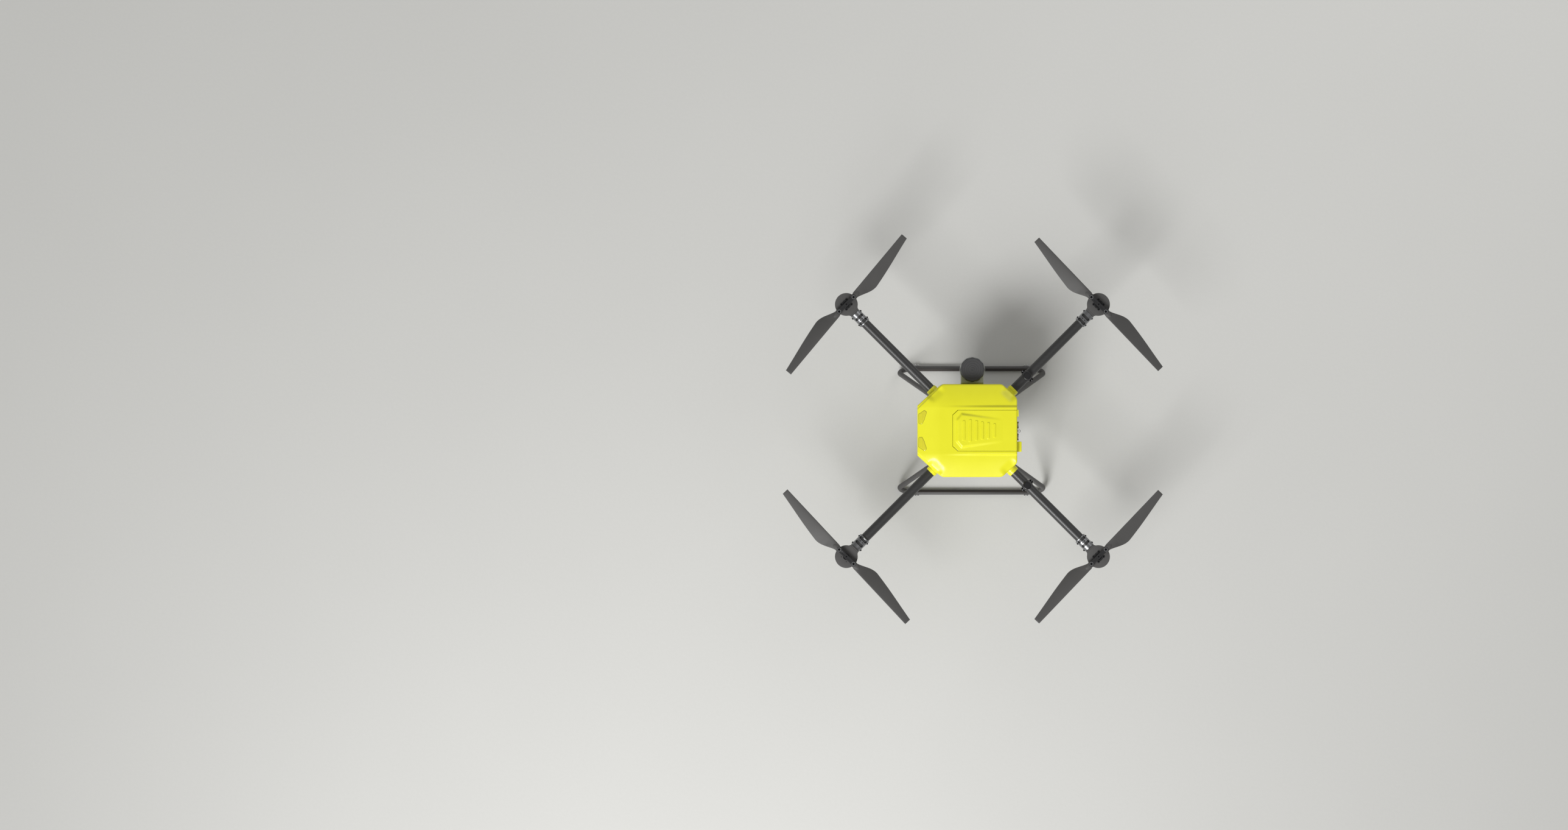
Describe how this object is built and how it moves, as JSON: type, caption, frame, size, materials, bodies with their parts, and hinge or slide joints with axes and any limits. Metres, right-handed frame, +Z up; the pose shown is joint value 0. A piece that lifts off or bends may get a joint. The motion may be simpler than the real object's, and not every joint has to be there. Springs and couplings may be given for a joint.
{
  "type": "agricultural spray drone",
  "caption": "Four-arm spray drone with folding propellers, yellow body shell, hinged top hatch, slide-out tank with screw filler cap and skid undercarriage.",
  "frame": {"origin": "on the ground, midway between the four motor axes", "axes": "+X towards the tail, -X the nose, +Y towards the tank's filler side, +Z up"},
  "size_m": [1.6189, 1.6599, 0.51],
  "materials": {
    "yellow_shell": "glossy moulded shell, fine grain",
    "carbon": "satin woven carbon tube",
    "carbon_plate": "flat carbon plate",
    "aluminium": "satin grey machined sleeve",
    "pod": "matte dark grey moulding",
    "copper": "enamelled windings on laminations",
    "motor_metal": "black anodised",
    "hub": "near-black moulding",
    "blade": "matte dark grey composite",
    "black_plastic": "matte black",
    "leg_tube": "satin dark grey tube",
    "latch": "black latch body",
    "steel": "bright wire",
    "battery": "wrapped pack",
    "tank": "translucent moulded polyethylene",
    "rubber": "soft gasket",
    "cap": "dark grey screw cap",
    "antenna": "matte black"
  },
  "bodies": {
    "airframe": {"front_right_arm_tube": "carbon", "front_right_tube_clamp": "aluminium", "front_right_pod_body": "pod", "front_right_pod_cover": "pod", "front_right_motor_stator": "copper", "front_right_spray_nozzle": "black_plastic", "front_right_leg": "leg_tube", "front_left_arm_tube": "carbon", "front_left_tube_clamp": "aluminium", "front_left_pod_body": "pod", "front_left_pod_cover": "pod", "front_left_motor_stator": "copper", "front_left_spray_nozzle": "black_plastic", "front_left_leg": "leg_tube", "rear_right_arm_tube": "carbon", "rear_right_tube_clamp": "aluminium", "rear_right_pod_body": "pod", "rear_right_pod_cover": "pod", "rear_right_motor_stator": "copper", "rear_right_spray_nozzle": "black_plastic", "rear_right_leg": "leg_tube", "rear_left_arm_tube": "carbon", "rear_left_tube_clamp": "aluminium", "rear_left_pod_body": "pod", "rear_left_pod_cover": "pod", "rear_left_motor_stator": "copper", "rear_left_spray_nozzle": "black_plastic", "rear_left_leg": "leg_tube", "top_shell": "yellow_shell", "lower_shell": "yellow_shell", "centre_frame": "carbon_plate", "hatch_latch_housing": "latch", "battery_pack": "battery", "flight_controller": "black_plastic", "spray_pump": "black_plastic", "right_skid_tube": "leg_tube", "left_skid_tube": "leg_tube", "rear_right_gnss_antenna": "antenna", "rear_left_gnss_antenna": "antenna"},
    "hatch": {"top_hatch": "yellow_shell"},
    "latch_pull": {"hatch_latch_pull": "steel"},
    "tank": {"spray_tank": "tank"},
    "cap_seal": {"filler_cap_seal": "rubber"},
    "cap": {"filler_cap": "cap"},
    "front_right_rotor": {"front_right_motor_rotor": "motor_metal", "front_right_prop_hub": "hub"},
    "front_right_blade_a": {"front_right_blade_a": "blade"},
    "front_right_blade_b": {"front_right_blade_b": "blade"},
    "front_left_rotor": {"front_left_motor_rotor": "motor_metal", "front_left_prop_hub": "hub"},
    "front_left_blade_a": {"front_left_blade_a": "blade"},
    "front_left_blade_b": {"front_left_blade_b": "blade"},
    "rear_right_rotor": {"rear_right_motor_rotor": "motor_metal", "rear_right_prop_hub": "hub"},
    "rear_right_blade_a": {"rear_right_blade_a": "blade"},
    "rear_right_blade_b": {"rear_right_blade_b": "blade"},
    "rear_left_rotor": {"rear_left_motor_rotor": "motor_metal", "rear_left_prop_hub": "hub"},
    "rear_left_blade_a": {"rear_left_blade_a": "blade"},
    "rear_left_blade_b": {"rear_left_blade_b": "blade"}
  },
  "joints": [
    {"name": "front_right_spin", "type": "hinge", "parent": "airframe", "child": "front_right_rotor", "pos_m": [-0.53698, 0.53698, 0.438], "axis": [0, 0, 1], "continuous": true},
    {"name": "front_right_fold_a", "type": "hinge", "parent": "front_right_rotor", "child": "front_right_blade_a", "pos_m": [-0.50636, 0.56759, 0.4454], "axis": [0, 0, 1], "range_deg": [-90, 90]},
    {"name": "front_right_fold_b", "type": "hinge", "parent": "front_right_rotor", "child": "front_right_blade_b", "pos_m": [-0.56759, 0.50636, 0.4454], "axis": [0, 0, 1], "range_deg": [-90, 90]},
    {"name": "front_left_spin", "type": "hinge", "parent": "airframe", "child": "front_left_rotor", "pos_m": [-0.53698, -0.53698, 0.438], "axis": [0, 0, 1], "continuous": true},
    {"name": "front_left_fold_a", "type": "hinge", "parent": "front_left_rotor", "child": "front_left_blade_a", "pos_m": [-0.50636, -0.56759, 0.4454], "axis": [0, 0, 1], "range_deg": [-90, 90]},
    {"name": "front_left_fold_b", "type": "hinge", "parent": "front_left_rotor", "child": "front_left_blade_b", "pos_m": [-0.56759, -0.50636, 0.4454], "axis": [0, 0, 1], "range_deg": [-90, 90]},
    {"name": "rear_right_spin", "type": "hinge", "parent": "airframe", "child": "rear_right_rotor", "pos_m": [0.53698, 0.53698, 0.438], "axis": [0, 0, 1], "continuous": true},
    {"name": "rear_right_fold_a", "type": "hinge", "parent": "rear_right_rotor", "child": "rear_right_blade_a", "pos_m": [0.56759, 0.50636, 0.4454], "axis": [0, 0, 1], "range_deg": [-90, 90]},
    {"name": "rear_right_fold_b", "type": "hinge", "parent": "rear_right_rotor", "child": "rear_right_blade_b", "pos_m": [0.50636, 0.56759, 0.4454], "axis": [0, 0, 1], "range_deg": [-90, 90]},
    {"name": "rear_left_spin", "type": "hinge", "parent": "airframe", "child": "rear_left_rotor", "pos_m": [0.53698, -0.53698, 0.438], "axis": [0, 0, 1], "continuous": true},
    {"name": "rear_left_fold_a", "type": "hinge", "parent": "rear_left_rotor", "child": "rear_left_blade_a", "pos_m": [0.56759, -0.50636, 0.4454], "axis": [0, 0, 1], "range_deg": [-90, 90]},
    {"name": "rear_left_fold_b", "type": "hinge", "parent": "rear_left_rotor", "child": "rear_left_blade_b", "pos_m": [0.50636, -0.56759, 0.4454], "axis": [0, 0, 1], "range_deg": [-90, 90]},
    {"name": "hatch_hinge", "type": "hinge", "parent": "airframe", "child": "hatch", "pos_m": [-0.0855, 0, 0.5], "axis": [0, -1, 0], "range_deg": [0, 100]},
    {"name": "latch_pull_slide", "type": "slide", "parent": "airframe", "child": "latch_pull", "axis": [1, 0, 0], "range_m": [0, 0.005], "stiffness_N_per_m": 60},
    {"name": "tank_slide", "type": "slide", "parent": "airframe", "child": "tank", "axis": [0, 1, 0], "range_m": [0, 0.36]},
    {"name": "cap_lift", "type": "slide", "parent": "tank", "child": "cap_seal", "axis": [0, 0, 1], "range_m": [0, 0.018]},
    {"name": "cap_turn", "type": "hinge", "parent": "cap_seal", "child": "cap", "pos_m": [0, 0.259, 0.4], "axis": [0, 0, 1], "range_deg": [0, 540]}
  ],
  "couplings": [
    {"joint": "cap_lift", "follows": "cap_turn", "m_per_rad": 0.0019}
  ]
}
